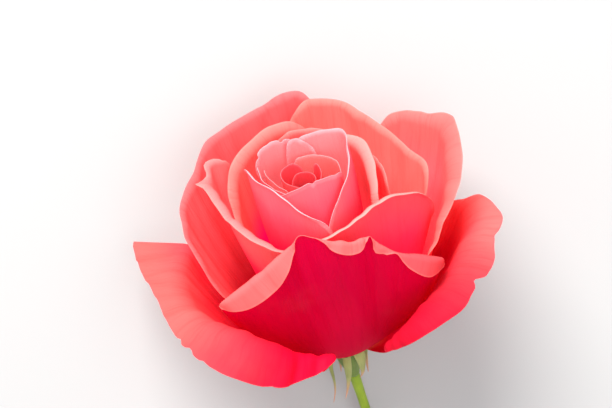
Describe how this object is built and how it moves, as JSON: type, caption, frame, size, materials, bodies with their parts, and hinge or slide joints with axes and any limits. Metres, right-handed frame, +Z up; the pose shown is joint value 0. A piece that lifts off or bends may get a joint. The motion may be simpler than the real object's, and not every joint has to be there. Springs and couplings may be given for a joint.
{
  "type": "rose flower",
  "caption": "Half-open garden rose cut with a short bare stem, lying on its side: nested cupped petals with turned rims, hip, reflexed sepals and a bent stem.",
  "frame": {"origin": "centre of the bottom of the bounding box, on the surface the flower lies on", "axes": "+Z up from that surface; +Y from the bloom to the cut end of the stem, so the bloom opens towards -Y and upwards; +X to the side"},
  "size_m": [0.108, 0.1534, 0.0818],
  "materials": {
    "petal_heart": "fresh rose petal, coral pink, fine veins, satin",
    "petal_bud": "fresh rose petal, pink outside with a pale pink-white rim, satin",
    "petal_middle": "fresh rose petal, coral with a pale salmon turned rim, satin",
    "petal_outer": "fresh rose petal, coral red inside, salmon rim, satin",
    "petal_front": "fresh rose petal, deep crimson outside with a salmon rolled rim, velvet",
    "petal_spread": "fresh rose petal, coral red, fine veins, satin",
    "hip": "green plant tissue, olive, faintly dusty",
    "sepal": "green plant tissue, grey green with brownish tips",
    "stem": "green plant tissue, yellow green, smooth and slightly waxy"
  },
  "bodies": {
    "root": {"petal_core_a": "petal_heart", "petal_core_b": "petal_heart", "petal_core_c": "petal_heart", "petal_heart_left": "petal_heart", "petal_heart_back": "petal_heart", "petal_bud_front": "petal_bud", "petal_bud_left": "petal_bud", "petal_bud_right": "petal_bud", "petal_bud_back_l": "petal_bud", "petal_bud_back_r": "petal_bud", "petal_bud_wrap": "petal_bud", "petal_mid_right": "petal_middle", "petal_mid_back": "petal_middle", "petal_mid_front": "petal_middle", "petal_mid_behind": "petal_middle", "petal_arch_left": "petal_middle", "petal_fold_left": "petal_middle", "petal_back_tall": "petal_outer", "petal_left_tall": "petal_outer", "petal_right_tall": "petal_outer", "petal_front": "petal_front", "petal_spread_left": "petal_spread", "petal_spread_right": "petal_spread", "petal_under_left": "petal_spread", "petal_under_right": "petal_spread", "hip": "hip", "stem": "stem", "sepal_1": "sepal", "sepal_2": "sepal", "sepal_3": "sepal", "sepal_4": "sepal", "sepal_5": "sepal"}
  },
  "joints": []
}
